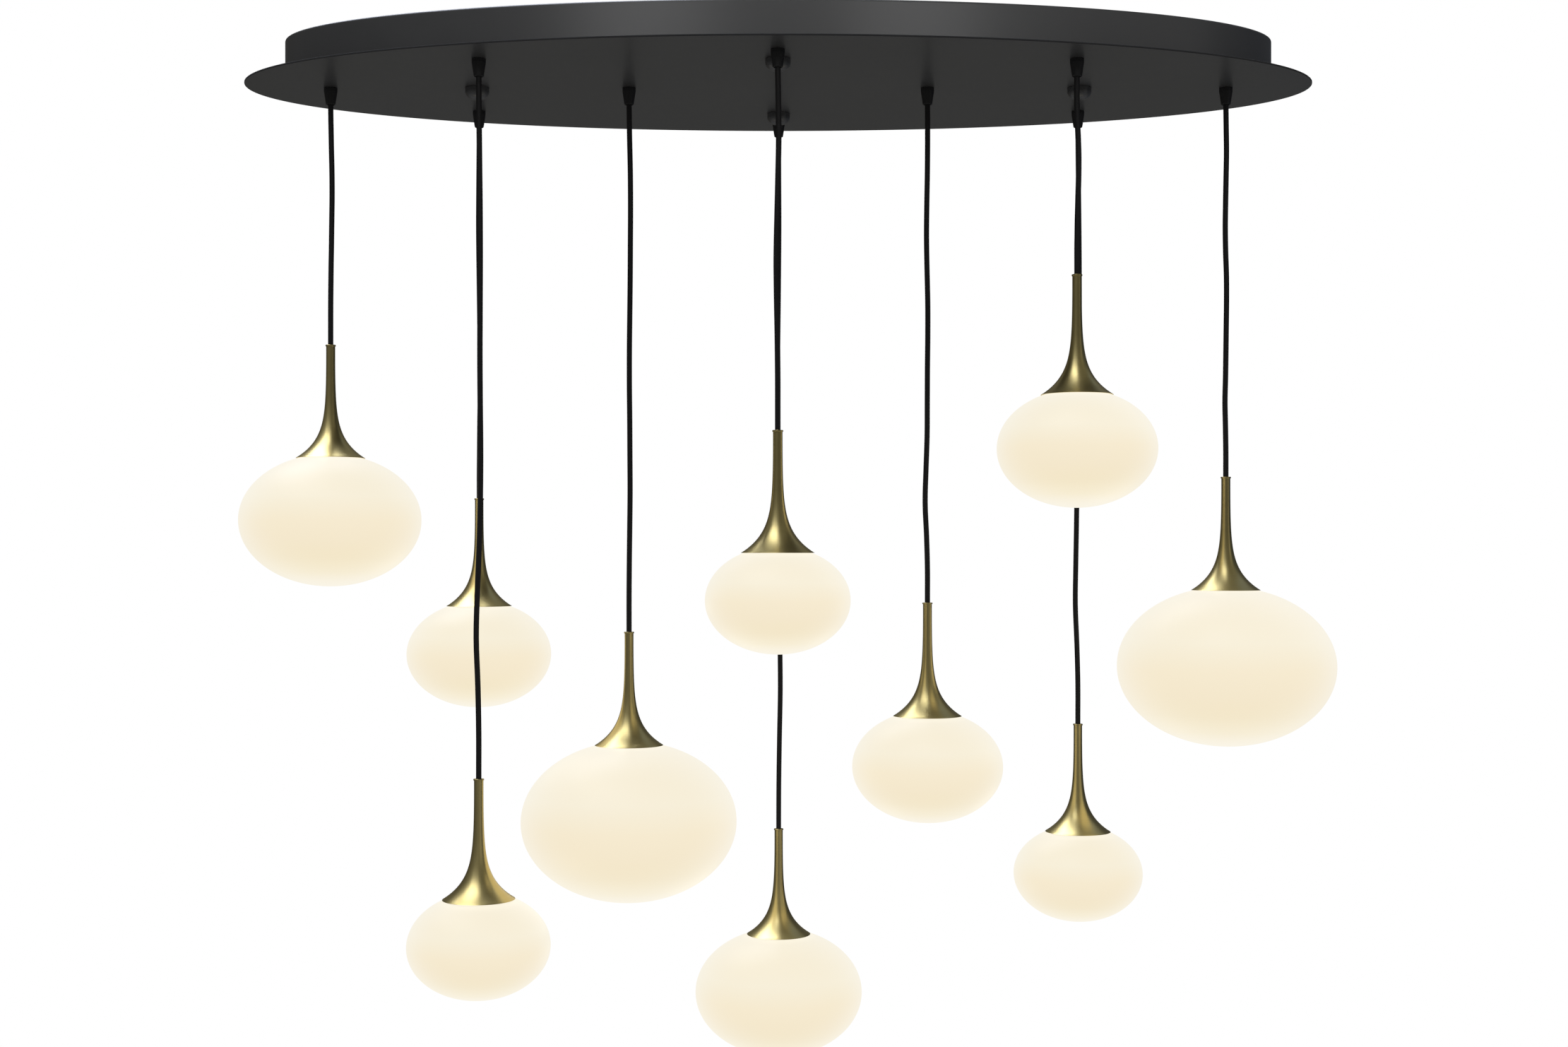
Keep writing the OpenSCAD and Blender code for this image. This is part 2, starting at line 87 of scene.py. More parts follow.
def wall_inside(x):
    """Half width of the canopy inside its wall, x away from the middle."""
    return (WALL_B - WALL_T) * math.sqrt(1 - (x / (WALL_A - WALL_T))**2)


# Room between the wall and the cords at the ends, the middle and the near and far corners
END_ROOM, MIDDLE_ROOM, NEAR_ROOM, FAR_ROOM, CORNER_SHIFT = 48, 9.5, 17.4, 20.8, 19
PITCH = (WALL_A - WALL_T - END_ROOM) / 3
NEAR_X, FAR_X = 2 * PITCH - CORNER_SHIFT, 2 * PITCH + CORNER_SHIFT
MIDDLE_Y = wall_inside(0) - MIDDLE_ROOM
NEAR_Y = wall_inside(NEAR_X) - NEAR_ROOM
FAR_Y = wall_inside(FAR_X) - FAR_ROOM

# Each pendant: place, drop from plate to cap, globe diameter, then the point at the junction
# box where its lead goes in, and that lead's depth
PENDANTS = [
    ((-3 * PITCH, 0), 290, 202, (-BOX_X, 20), LEAD_LOW),
    ((-FAR_X, FAR_Y), 460, 170, (-BOX_X, 16), LEAD_HIGH),
    ((-NEAR_X, -NEAR_Y), 765, 152, (-BOX_X, -16), LEAD_HIGH),
    ((-PITCH, 0), 614, 243, (-BOX_X, 0), LEAD_LOW),
    ((0, -MIDDLE_Y), 397, 152, (30, -BOX_Y), LEAD_LOW),
    ((0, MIDDLE_Y), 860, 202, (-30, BOX_Y), LEAD_LOW),
    ((PITCH, 0), 581, 170, (BOX_X, 0), LEAD_LOW),
    ((NEAR_X, -NEAR_Y), 229, 170, (BOX_X, -16), LEAD_HIGH),
    ((FAR_X, FAR_Y), 728, 152, (BOX_X, 16), LEAD_HIGH),
    ((3 * PITCH, 0), 439, 243, (BOX_X, -20), LEAD_LOW),
]
PLACES = [p[0] for p in PENDANTS]
STUDS = [(STUD_X, 0), (-STUD_X, 0), (0, STUD_Y), (0, -STUD_Y)]

# Sideways sway of each cord, left to right and front to back, at equal steps from the grip's
# mouth to the cap
SWAY = [
    ([0, 0.2, 0.5, 0.8, 1.2, 1.4, 1.4, 1.2, 1, 0.8, 0.5, 0.3, 0.1, 0, 0, 0],
     [0, 0, 0.2, 0.4, 0.6, 0.8, 0.8, 0.6, 0.4, 0.2, 0, 0, 0, 0, 0, 0]),
    ([0, -0.2, -0.5, -0.8, -1, -0.8, -0.4, 0, 0.4, 0.8, 1, 1, 0.6, 0.3, 0, 0],
     [0, 0, 0.3, 0.6, 1, 1.2, 1.2, 1, 0.8, 0.4, 0, -0.3, -0.3, -0.2, 0, 0]),
    ([0, 0.4, 1, 1.6, 1.8, 1.6, 1.4, 1.6, 2, 1.6, 0.4, -1.6, -2.8, -1, 0, 0],
     [0, 0, -0.4, -1, -1.4, -1.4, -1, -0.4, 0, 0.6, 1, 1, 0.6, 0.2, 0, 0]),
    ([0, 0.6, 1.4, 1.6, 1.4, 1.2, 0.8, 0.4, 0.4, 0.8, 1, 1.2, 0.8, 0.3, 0, 0],
     [0, 0, 0.4, 0.8, 1, 0.8, 0.4, 0, -0.4, -0.6, -0.6, -0.4, -0.2, 0, 0, 0]),
    ([0, 0.4, 0.8, 1, 0.6, 0, -0.6, -1.2, -1.6, -1.4, -1, -0.5, -0.2, 0, 0, 0],
     [0, 0, 0.2, 0.6, 0.8, 1, 0.8, 0.4, 0, -0.3, -0.4, -0.3, -0.1, 0, 0, 0]),
    ([0, 0.2, 0.4, 0, -0.6, -1.2, -1.4, -1, -0.2, 0.6, 1.2, 1.6, 2, 1, 0.2, 0],
     [0, 0.4, 1, 1.4, 1.4, 1, 0.4, -0.2, -0.8, -1, -0.8, -0.4, 0, 0, 0, 0]),
    ([0, 0.2, 0, -0.6, -1, -0.4, 0.4, 0.4, 0, -0.2, -0.4, -1.6, -2.6, -1, 0, 0],
     [0, 0, 0.4, 0.8, 1, 1, 0.6, 0.2, 0, -0.2, -0.2, 0, 0, 0, 0, 0]),
    ([0, -0.2, -0.2, 0.2, 0.8, 1.4, 1.8, 1.8, 1.6, 1.2, 0.8, 0.4, 0.2, 0, 0, 0],
     [0, 0, 0, 0.2, 0.4, 0.4, 0.2, 0, 0, 0, 0, 0, 0, 0, 0, 0]),
    ([0, 0.4, 1, 1.4, 1.6, 1.6, 1.2, 0.4, -0.4, -1, -1.6, -2.4, -3, -1.2, 0, 0],
     [0, 0, -0.2, -0.6, -1, -1.2, -1, -0.6, -0.2, 0.2, 0.4, 0.4, 0.2, 0, 0, 0]),
    ([0, 0.4, 0.8, 0.4, 0, -0.4, 0, 0.8, 0.8, 0.4, 0, -0.4, -1, -0.4, 0, 0],
     [0, 0, 0.2, 0.6, 1, 1, 0.8, 0.4, 0, -0.2, -0.4, -0.4, -0.2, 0, 0, 0]),
]


def cap_top(drop):
    return -CANOPY_H - drop


def flare(t):
    """Outer radius of a trumpet cap, t running from 0 at the stem's top to 1 at the rim."""
    return STEM_R + CAP_CONE * t**3 + (RIM_R - STEM_R - CAP_CONE) * t**7


def flare_in(t):
    slope = (3 * CAP_CONE * t**2 + 7 * (RIM_R - STEM_R - CAP_CONE) * t**6) / CAP_H
    return flare(t) - CAP_WALL * math.sqrt(1 + slope**2)


def rim_seat(a):
    """Height of the cap's rim above the centre of a globe of radius a."""
    return a * GLOBE_FLAT * math.sqrt(1 - (flare_in(1) / a) ** 2) + GLASS_GAP


# Shader nodes


class Shade:
    """A socket of a node tree. Sums on it add Math nodes."""

    def __init__(self, finish, socket):
        self.finish = finish
        self.socket = socket

    def math(self, operation, first, second):
        return self.finish.node("ShaderNodeMath", {"operation": operation}, {0: first, 1: second})

    def __add__(self, other):
        return self.math("ADD", self, other)

    def __sub__(self, other):
        return self.math("SUBTRACT", self, other)

    def __rsub__(self, other):
        return self.math("SUBTRACT", other, self)

    def __mul__(self, other):
        return self.math("MULTIPLY", self, other)

    __radd__ = __add__
    __rmul__ = __mul__


class Finish:
    """A node tree that is filled through node()."""

    def __init__(self, owner):
        owner.use_nodes = True
        self.owner = owner
        self.tree = owner.node_tree
        self.tree.nodes.clear()

    def node(self, kind, settings=None, inputs=None, out=0):
        made = self.tree.nodes.new(kind)
        for name, value in (settings or {}).items():
            if name == "stops":
                ramp = made.color_ramp
                while len(ramp.elements) < len(value):
                    ramp.elements.new(0.5)
                for element, (position, colour) in zip(ramp.elements, value):
                    element.position = position
                    element.color = (*colour, 1)
            else:
                setattr(made, name, value)
        for key, value in (inputs or {}).items():
            if isinstance(value, Shade):
                self.tree.links.new(value.socket, made.inputs[key])
            elif made.inputs[key].type == "RGBA" and len(value) == 3:
                made.inputs[key].default_value = (*value, 1)
            else:
                made.inputs[key].default_value = value
        return Shade(self, made.outputs[out]) if len(made.outputs) else made

    def place(self):
        return self.node("ShaderNodeTexCoord", out="Object")

    def noise(self, where, scale, detail=2.0, roughness=0.5):
        values = {"Vector": where, "Scale": scale, "Detail": detail, "Roughness": roughness}
        return self.node("ShaderNodeTexNoise", None, values)

    def stretched(self, where, stretch):
        return self.node("ShaderNodeVectorMath", {"operation": "MULTIPLY"}, {0: where, 1: stretch})

    def mix(self, factor, first, second):
        settings = {"data_type": "RGBA"}
        return self.node("ShaderNodeMix", settings, {0: factor, 6: first, 7: second}, out=2)

    def between(self, value, low, high):
        """0 below low, 1 above high and a soft rise between; low may be above high."""
        settings = {"interpolation_type": "SMOOTHSTEP"}
        values = {"Value": value, 1: min(low, high), 2: max(low, high)}
        rise = self.node("ShaderNodeMapRange", settings, values)
        return rise if low < high else 1 - rise

    def ramp(self, value, stops):
        return self.node("ShaderNodeValToRGB", {"stops": stops}, {0: value})

    def bump(self, height, strength, distance):
        values = {"Height": height, "Strength": strength, "Distance": distance}
        return self.node("ShaderNodeBump", None, values)

    def surface(self, **values):
        """The Principled shader as the material's surface; _ stands for a space in its names."""
        names = {key.replace("_", " "): value for key, value in values.items()}
        shader = self.node("ShaderNodeBsdfPrincipled", None, names)
        self.node("ShaderNodeOutputMaterial", None, {"Surface": shader})
        return self.owner


def new_finish(name):
    return Finish(bpy.data.materials.new(name))


def satin_black_finish(name, shaded_cut_edge):
    """Black powder coat: even and satin, with the fine peel and cloudiness of a sprayed sheet. On
    a flat sheet the cut edge is rougher and has less coat than the face, and its colour is
    darkened as painted shade."""
    f = new_finish(name)
    place = f.place()
    cloud = f.noise(place, 9, 3)
    grain = f.noise(place, 1500, 2)
    peel = f.noise(place, 320, 2)
    colour = f.mix(cloud * 0.55 + grain * 0.45, (0.0155, 0.0155, 0.016), (0.0265, 0.0265, 0.027))
    roughness = 0.36 + 0.1 * cloud + 0.06 * grain
    coat = 0.4 + 0.1 * cloud
    if shaded_cut_edge:
        normal = f.node("ShaderNodeTexCoord", out="Normal")
        upward = f.node("ShaderNodeSeparateXYZ", None, {0: normal}, out="Z")
        dull_shaded_edge = f.between(upward * upward, 0.995, 0.9)
        # Painted shade: the edge rounding's colour is darkened towards near black; only its higher
        # roughness and thinner coat are the material's own.
        colour = f.mix(dull_shaded_edge, colour, (0.008, 0.008, 0.0085))
        roughness = roughness + 0.5 * dull_shaded_edge
        coat = coat * (1 - dull_shaded_edge)
    return f.surface(
        Base_Color=colour, Roughness=roughness, Specular_IOR_Level=0.5, Coat_Weight=coat,
        Coat_Roughness=0.25, Normal=f.bump(peel, 0.12, 0.0004))


def grip_black_finish():
    """Moulded black nylon with a fine spark-eroded texture."""
    f = new_finish("grip_black")
    place = f.place()
    grain = f.noise(place, 1900, 2)
    cloud = f.noise(place, 60, 2)
    colour = f.mix(grain, (0.0035, 0.0035, 0.0037), (0.0085, 0.0085, 0.009))
    return f.surface(
        Base_Color=colour, Roughness=0.42 + 0.16 * cloud, Specular_IOR_Level=0.35,
        Normal=f.bump(grain, 0.25, 0.0002))


def cord_black_finish():
    """Smooth black cord jacket with faint long draw marks."""
    f = new_finish("cord_black")
    place = f.place()
    draw = f.noise(f.stretched(place, (900, 900, 12)), 1, 1)
    cloud = f.noise(place, 30, 2)
    colour = f.mix(draw * 0.5 + cloud * 0.5, (0.0045, 0.0042, 0.0045), (0.0085, 0.008, 0.0084))
    return f.surface(
        Base_Color=colour, Roughness=0.5 + 0.1 * cloud, Specular_IOR_Level=0.22,
        Normal=f.bump(draw, 0.06, 0.0001))


def antique_brass_finish():
    """Lathe-brushed antique brass: lines round the axis, a soft brown patina in patches, and
    painted shade that gives the stem a darker tone than the bell."""
    f = new_finish("antique_brass")
    place = f.place()
    lines = f.noise(f.stretched(place, (22, 22, 1500)), 1, 3, 0.6)
    broad = f.noise(f.stretched(place, (8, 8, 160)), 1, 2)
    patina = f.noise(place, 38, 4, 0.6)
    height = f.node("ShaderNodeSeparateXYZ", None, {0: place}, out="Z")
    # Painted shade: the colour turns darker towards the top of the cap, up the stem.
    stem_shade = f.between(height, -0.105, -0.045)
    bell_tone = f.mix(patina, (0.60, 0.49, 0.195), (0.74, 0.615, 0.265))
    shaded_stem_tone = f.mix(patina, (0.44, 0.36, 0.15), (0.52, 0.43, 0.185))
    tone = f.mix(stem_shade, bell_tone, shaded_stem_tone)
    colour = f.mix(lines * 0.25 + broad * 0.15, tone, (0.42, 0.33, 0.14))
    return f.surface(
        Base_Color=colour, Metallic=1.0, Roughness=0.31 + 0.06 * lines + 0.04 * patina,
        Anisotropic=0.5, Anisotropic_Rotation=0.25, Normal=f.bump(lines, 0.05, 0.0001))


def opal_finish():
    """Lit satin opal glass: creamy white, warmer below its middle, brighter under the cap and
    palest where the glass is seen edge on."""
    f = new_finish("opal_glass")
    place = f.place()
    normal = f.node("ShaderNodeTexCoord", out="Normal")
    upward = f.node("ShaderNodeSeparateXYZ", None, {0: normal}, out="Z")
    glow = f.ramp(upward * 0.5 + 0.5, [
        (0.0, (0.865, 0.795, 0.640)),
        (0.07, (0.845, 0.750, 0.535)),
        (0.16, (0.828, 0.727, 0.520)),
        (0.30, (0.838, 0.738, 0.548)),
        (0.50, (0.851, 0.757, 0.572)),
        (0.72, (0.858, 0.794, 0.640)),
        (1.0, (0.852, 0.778, 0.610))])
    flat = f.stretched(place, (1, 1, 0))
    radius = f.node("ShaderNodeVectorMath", {"operation": "LENGTH"}, {0: flat}, out="Value")
    under_cap = f.between(radius, 0.049, 0.038) * f.between(upward, 0.4, 0.7)
    cloud = f.noise(place, 16, 2)
    warm = f.mix(cloud * 0.10, glow, (0.82, 0.71, 0.50))
    lit = f.mix(under_cap * 0.6, warm, (0.93, 0.855, 0.67))
    edge_on = f.node("ShaderNodeLayerWeight", None, {"Blend": 0.5}, out="Facing")
    rim = f.between(edge_on, 0.15, 0.95)
    return f.surface(
        Base_Color=f.mix(cloud, (0.090, 0.086, 0.076), (0.098, 0.094, 0.084)),
        Roughness=0.42 + 0.08 * cloud, Specular_IOR_Level=0.12,
        Emission_Color=f.mix(rim * 0.6, lit, (0.90, 0.875, 0.80)), Emission_Strength=1.0)


def ceramic_finish():
    f = new_finish("holder_ceramic")
    place = f.place()
    cloud = f.noise(place, 120, 3)
    speck = f.noise(place, 1600, 1)
    colour = f.mix(cloud * 0.7 + speck * 0.3, (0.68, 0.65, 0.58), (0.80, 0.78, 0.72))
    return f.surface(
        Base_Color=colour, Roughness=0.3 + 0.15 * cloud, Normal=f.bump(speck, 0.1, 0.0002))


def bulb_finish():
    """Frosted capsule, lit: brightest along its middle."""
    f = new_finish("bulb_glass")
    place = f.place()
    height = f.node("ShaderNodeSeparateXYZ", None, {0: place}, out="Z")
    lit = f.between(height, 0.006, -0.012)
    frost = f.noise(place, 900, 2)
    glow = f.mix(lit, (0.26, 0.22, 0.15), (0.74, 0.62, 0.38))
    return f.surface(
        Base_Color=f.mix(frost, (0.20, 0.19, 0.16), (0.26, 0.25, 0.22)),
        Roughness=0.35 + 0.1 * frost, Emission_Color=glow, Emission_Strength=1.0)


def zinc_finish():
    """Zinc-plated sheet steel: pale, faintly brushed along X, with cloudy passivation."""
    f = new_finish("zinc_steel")
    place = f.place()
    brushed = f.noise(f.stretched(place, (30, 1800, 1800)), 1, 2)
    cloud = f.noise(place, 26, 4, 0.6)
    colour = f.mix(cloud * 0.7 + brushed * 0.3, (0.24, 0.245, 0.25), (0.36, 0.365, 0.37))
    return f.surface(
        Base_Color=colour, Metallic=1.0, Roughness=0.34 + 0.14 * cloud + 0.08 * brushed,
        Normal=f.bump(brushed, 0.06, 0.0002))


def box_plastic_finish():
    f = new_finish("box_plastic")
    place = f.place()
    grain = f.noise(place, 1500, 2)
    cloud = f.noise(place, 30, 2)
    colour = f.mix(cloud * 0.6 + grain * 0.4, (0.60, 0.585, 0.54), (0.68, 0.665, 0.62))
    return f.surface(
        Base_Color=colour, Roughness=0.45 + 0.12 * grain, Normal=f.bump(grain, 0.12, 0.0002))


SATIN_BLACK = satin_black_finish("satin_black", False)
SATIN_PLATE = satin_black_finish("satin_black_plate", True)
GRIP_BLACK = grip_black_finish()
CORD_BLACK = cord_black_finish()
BRASS = antique_brass_finish()
OPAL = opal_finish()
CERAMIC = ceramic_finish()
BULB = bulb_finish()
ZINC = zinc_finish()
BOX_PLASTIC = box_plastic_finish()

# Making pieces


def set_up(obj, finish, body, nodes):
    obj.data.materials.append(finish)
    scene.collection.objects.link(obj)
    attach(obj, body)
    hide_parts(*nodes)
    return obj


SHARP_ABOVE = math.radians(32)


def mesh_piece(name, bm, finish, body, nodes, at=(0, 0, 0)):
    """The shape, drawn in millimetres round the point at, as a piece of the object."""
    bmesh.ops.recalc_face_normals(bm, faces=bm.faces)
    bmesh.ops.scale(bm, vec=(MM, MM, MM), verts=bm.verts)
    mesh = bpy.data.meshes.new(name)
    bm.to_mesh(mesh)
    bm.free()
    mesh.shade_smooth()
    mesh.set_sharp_from_angle(angle=SHARP_ABOVE)
    obj = bpy.data.objects.new(name, mesh)
    obj.location = Vector(at) * MM
    return set_up(obj, finish, body, nodes)


def line_curve(name, points, radius):
    """A round cord or lead as a curve through points given in millimetres."""
    curve = bpy.data.curves.new(name, "CURVE")
    curve.dimensions = "3D"
    curve.bevel_depth = radius * MM
    curve.bevel_resolution = 5
    curve.use_fill_caps = True
    spline = curve.splines.new("POLY")
    spline.points.add(len(points) - 1)
    for point, (x, y, z) in zip(spline.points, points):
        point.co = (x * MM, y * MM, z * MM, 1)
    return bpy.data.objects.new(name, curve)


def through(points, parts):
    """Points of a smooth line through the given ones, with parts steps between two of them."""
    ends = [points[0], *points, points[-1]]
    line = []
    for a, b, c, d in zip(ends, ends[1:], ends[2:], ends[3:]):
        for k in range(parts):
            t = k / parts
            line.append(tuple(
                0.5 * (2 * q + (r - p) * t + (2 * p - 5 * q + 4 * r - s) * t**2
                       + (3 * q - p - 3 * r + s) * t**3)
                for p, q, r, s in zip(a, b, c, d)))
    return [*line, points[-1]]


def cord_route(number):
    (x, y), drop = PENDANTS[number][:2]
    across, along = SWAY[number]
    steps = len(across) - 1
    route = [(x + across[k], y + along[k], PIVOT_Z + (cap_top(drop) - PIVOT_Z) * k / steps)
             for k in range(steps + 1)]
    return [*route, (x, y, cap_top(drop) - CAP_H + HOLDER_TOP)]


# Lamp holder levels are counted from the cap's rim
FLANGE_T, BARREL_H = 3, 18
FLANGE_Z = NECK_RISE + GLASS_GAP
FLANGE_TOP = FLANGE_Z + FLANGE_T
HOLDER_TOP = FLANGE_TOP + BARREL_H
STEPS_BETWEEN = 4

for number in range(len(PENDANTS)):
    route = through(cord_route(number), STEPS_BETWEEN)
    cord = line_curve(f"hanging_cord_{number + 1}", route, CORD_R)
    set_up(cord, CORD_BLACK, f"pendant_{number + 1}", [f"cord_{number + 1}"])
    [v * MM for v in route[0]]

# Shapes


def skin(bm, first, second):
    """Faces between two rings; a ring of one vertex is a pole."""
    for k in range(max(len(first), len(second))):
        corners = [ring[(k + step) % len(ring)]
                   for ring, step in ((first, 0), (first, 1), (second, 1), (second, 0))]
        corners = list(dict.fromkeys(corners))
        if len(corners) > 2:
            bm.faces.new(corners)


ROUND_STEP = 18


def soften(corners):
    """Rounds the corners (x, y, radius) of a closed profile. A point is added on the flat on each
    side of a rounding, so that the flat still shades flat."""
    smooth = []
    for k, (x, y, *radius) in enumerate(corners):
        here = Vector((x, y))
        if not radius or not radius[0]:
            smooth.append((x, y))
            continue
        radius = radius[0]
        coming = (here - Vector(corners[k - 1][:2])).normalized()
        going = (Vector(corners[(k + 1) % len(corners)][:2]) - here).normalized()
        turn = coming.angle_signed(going)
        reach = radius * math.tan(abs(turn) / 2)
        beside = reach + 0.4 * radius
        centre = here - coming * reach + coming.orthogonal() * radius * (-1 if turn > 0 else 1)
        start = here - coming * reach - centre
        smooth.append(tuple(here - coming * beside))
        steps = max(2, math.ceil(math.degrees(abs(turn)) / ROUND_STEP))
        for step in range(steps + 1):
            angle = -turn * step / steps
            spun = Vector((start.x * math.cos(angle) - start.y * math.sin(angle),
                           start.x * math.sin(angle) + start.y * math.cos(angle)))
            smooth.append(tuple(centre + spun))
        smooth.append(tuple(here + going * beside))
    return smooth


def turned(bm, profile, sides, centre=(0, 0), pitch=1.0):
    """Turns a closed profile round the upright axis through centre. A profile point is (radius,
    height), or (radius, height, depth) where a thread of that depth is cut."""
    rings = []
    for radius, height, *cut in profile:
        if radius < 1e-6:
            rings.append([bm.verts.new((*centre, height))])
            continue
        ring = []
        for k in range(sides):
            turn = 2 * math.pi * k / sides
            ridge = 0.5 - 0.5 * math.cos(2 * math.pi * height / pitch - turn)
            r = radius - (cut[0] * ridge if cut else 0)
            ring.append(bm.verts.new(
                (centre[0] + r * math.cos(turn), centre[1] + r * math.sin(turn), height)))
        rings.append(ring)
    for first, second in zip(rings, [*rings[1:], rings[0]]):
        skin(bm, first, second)


def threaded(radius, low, high, pitch, depth):
    """Profile points of a thread from low to high, in that order, six to a pitch."""
    count = math.ceil(abs(high - low) / pitch * 6)
    return [(radius, low + (high - low) * k / count, depth) for k in range(count + 1)]


def oval(a, b, steps=240):
    return [(a * math.cos(2 * math.pi * k / steps), b * math.sin(2 * math.pi * k / steps))
            for k in range(steps)]


def circle(x, y, r, steps=32):
    return [(x + px, y + py) for px, py in oval(r, r, steps)]


def sheet_metal(bm, outline, holes, low, high, chamfer):
    """A flat sheet with holes, its edges broken by a small chamfer."""
    loops = []
    for points in [outline, *holes]:
        verts = [bm.verts.new((x, y, high)) for x, y in points]
        loops += [bm.edges.new(pair) for pair in zip(verts, [*verts[1:], verts[0]])]
    top = bmesh.ops.triangle_fill(bm, use_beauty=True, edges=loops)["geom"]
    faces = [part for part in top if isinstance(part, bmesh.types.BMFace)]
    pushed = bmesh.ops.extrude_face_region(bm, geom=faces, use_keep_orig=True)["geom"]
    moved = [part for part in pushed if isinstance(part, bmesh.types.BMVert)]
    bmesh.ops.translate(bm, vec=(0, 0, low - high), verts=moved)
    bmesh.ops.recalc_face_normals(bm, faces=bm.faces)
    sharp = [edge for edge in bm.edges
             if len(edge.link_faces) == 2 and edge.calc_face_angle() > 1.2
             and abs(edge.verts[0].co.z - edge.verts[1].co.z) < 1e-4]
    bmesh.ops.bevel(bm, geom=sharp, offset=chamfer, segments=1, affect="EDGES", profile=0.5)


# Canopy

bm = bmesh.new()
holes = [circle(*place, THREAD_R + HOLE_GAP) for place in PLACES]
holes += [circle(*place, STUD_R + HOLE_GAP) for place in STUDS]
sheet_metal(bm, oval(PLATE_A, PLATE_B), holes, -CANOPY_H, -WALL_H, 0.4)
mesh_piece("canopy_oval_plate", bm, SATIN_PLATE, "canopy", ["canopy_plate"])

bm = bmesh.new()
section = soften([
    (0, -WALL_H, 0.4), (0, 0, 2.2), (LIP_W, 0, 0.5), (LIP_W, -WALL_T, 0.5),
    (WALL_T, -WALL_T, 0.8), (WALL_T, -WALL_H, 0.4)])
rings = [[bm.verts.new((x, y, z)) for x, y in oval(WALL_A - inset, WALL_B - inset)]
         for inset, z in section]
for first, second in zip(rings, [*rings[1:], rings[0]]):
    skin(bm, first, second)
mesh_piece("canopy_side_wall", bm, SATIN_BLACK, "canopy", ["canopy_wall"])


def slot(x, y, along_x):
    """Outline of a slot with round ends."""
    radius = SLOT_W / 2
    reach = SLOT_L / 2 - radius
    points = []
    for side in (1, -1):
        for k in range(13):
            turn = math.pi * (k / 12 - 0.5) + (0 if side > 0 else math.pi)
            points.append((side * reach + radius * math.cos(turn), radius * math.sin(turn)))
    return [(x + px, y + py) if along_x else (x - py, y + px) for px, py in points]


bm = bmesh.new()
long_x, long_y, half = STUD_X + ARM_END, STUD_Y + ARM_END, ARM_W / 2
cross = [(long_x, -half), (long_x, half), (half, half), (half, long_y), (-half, long_y),
         (-half, half), (-long_x, half), (-long_x, -half), (-half, -half), (-half, -long_y),
         (half, -long_y), (half, -half)]
holes = [circle(0, 0, ENTRY_R), slot(SLOT_X, 0, True), slot(-SLOT_X, 0, True),
         slot(0, SLOT_Y, False), slot(0, -SLOT_Y, False)]
sheet_metal(bm, cross, holes, -ARM_T, 0, 0.3)
mesh_piece("cross_bracket", bm, ZINC, "canopy", ["ceiling_bracket"])

bm = bmesh.new()
stud_low = -CANOPY_H - STUD_GRIP
stud = [(0, -ARM_T), *threaded(STUD_R, -ARM_T, stud_low, STUD_PITCH, STUD_CUT), (0, stud_low)]
for place in STUDS:
    turned(bm, stud, 16, place, STUD_PITCH)
mesh_piece("threaded_studs", bm, ZINC, "canopy", ["bracket_studs"])

bm = bmesh.new()
bore, bore_end = STUD_R + THREAD_GAP, STUD_GRIP + 1
outline = soften([(bore, 0), (NUT_R, 0, 0.4), (NUT_R, -NUT_SKIRT)])
outline += [(NUT_R * (NUT_FLAT + (1 - NUT_FLAT) * math.cos(math.radians(5 * k))),
             -NUT_SKIRT - NUT_DOME * math.sin(math.radians(5 * k))) for k in range(1, 19)]
outline += [(0, -NUT_SKIRT - NUT_DOME), (0, -bore_end), (bore, -bore_end)]
for place in STUDS:
    turned(bm, [(r, z - CANOPY_H) for r, z in outline], 48, place)
mesh_piece("domed_cap_nuts", bm, SATIN_BLACK, "canopy", ["cap_nuts"])

bm = bmesh.new()
thread_top = -WALL_H + LOCKNUT_H + THREAD_FREE
grip = soften([
    (GUIDE_R, thread_top), (THREAD_R, thread_top, 0.3), (THREAD_R, -CANOPY_H),
    (GRIP_R, -CANOPY_H, 0.3), (GRIP_R, -CANOPY_H - GRIP_COLLAR, 1.5),
    (GRIP_TIP_R + 0.4, MOUTH_Z + 1.2, 0.5), (GRIP_TIP_R, MOUTH_Z, 0.4),
    (GUIDE_R + MOUTH_FLARE, MOUTH_Z, 0.2), (GUIDE_R, PIVOT_Z)])
for place in PLACES:
    turned(bm, grip, 40, place)
mesh_piece("tapered_grips", bm, GRIP_BLACK, "canopy", ["cord_grips"])

bm = bmesh.new()
for place in PLACES:
    hexagon, hole = circle(*place, LOCKNUT_R, 6), circle(*place, THREAD_R + THREAD_GAP)
    sheet_metal(bm, hexagon, [hole], -WALL_H, -WALL_H + LOCKNUT_H, 0.35)
mesh_piece("hexagon_nuts", bm, GRIP_BLACK, "canopy", ["grip_locknuts"])

SWING_GAP = 0.7
for number, ((x, y), _, _, goal, depth) in enumerate(PENDANTS, 1):
    way = Vector(goal) - Vector((x, y))
    ahead = way.normalized()
    bend = [(LEAD_BEND * (1 - math.cos(math.radians(9 * k))),
             -depth - LEAD_BEND + LEAD_BEND * math.sin(math.radians(9 * k))) for k in range(11)]
    line = [(0, PIVOT_Z + SWING_GAP), *bend, (way.length + INTO_BOX, -depth)]
    lead = line_curve(f"canopy_lead_{number}",
                      [(x + ahead.x * out, y + ahead.y * out, z) for out, z in line], CORD_R)
    set_up(lead, CORD_BLACK, "canopy", ["inner_leads"])

for name in ("junction_box", "junction_cover"):
    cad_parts[name].data.materials.clear()
    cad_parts[name].data.materials.append(BOX_PLASTIC)

# Pendants

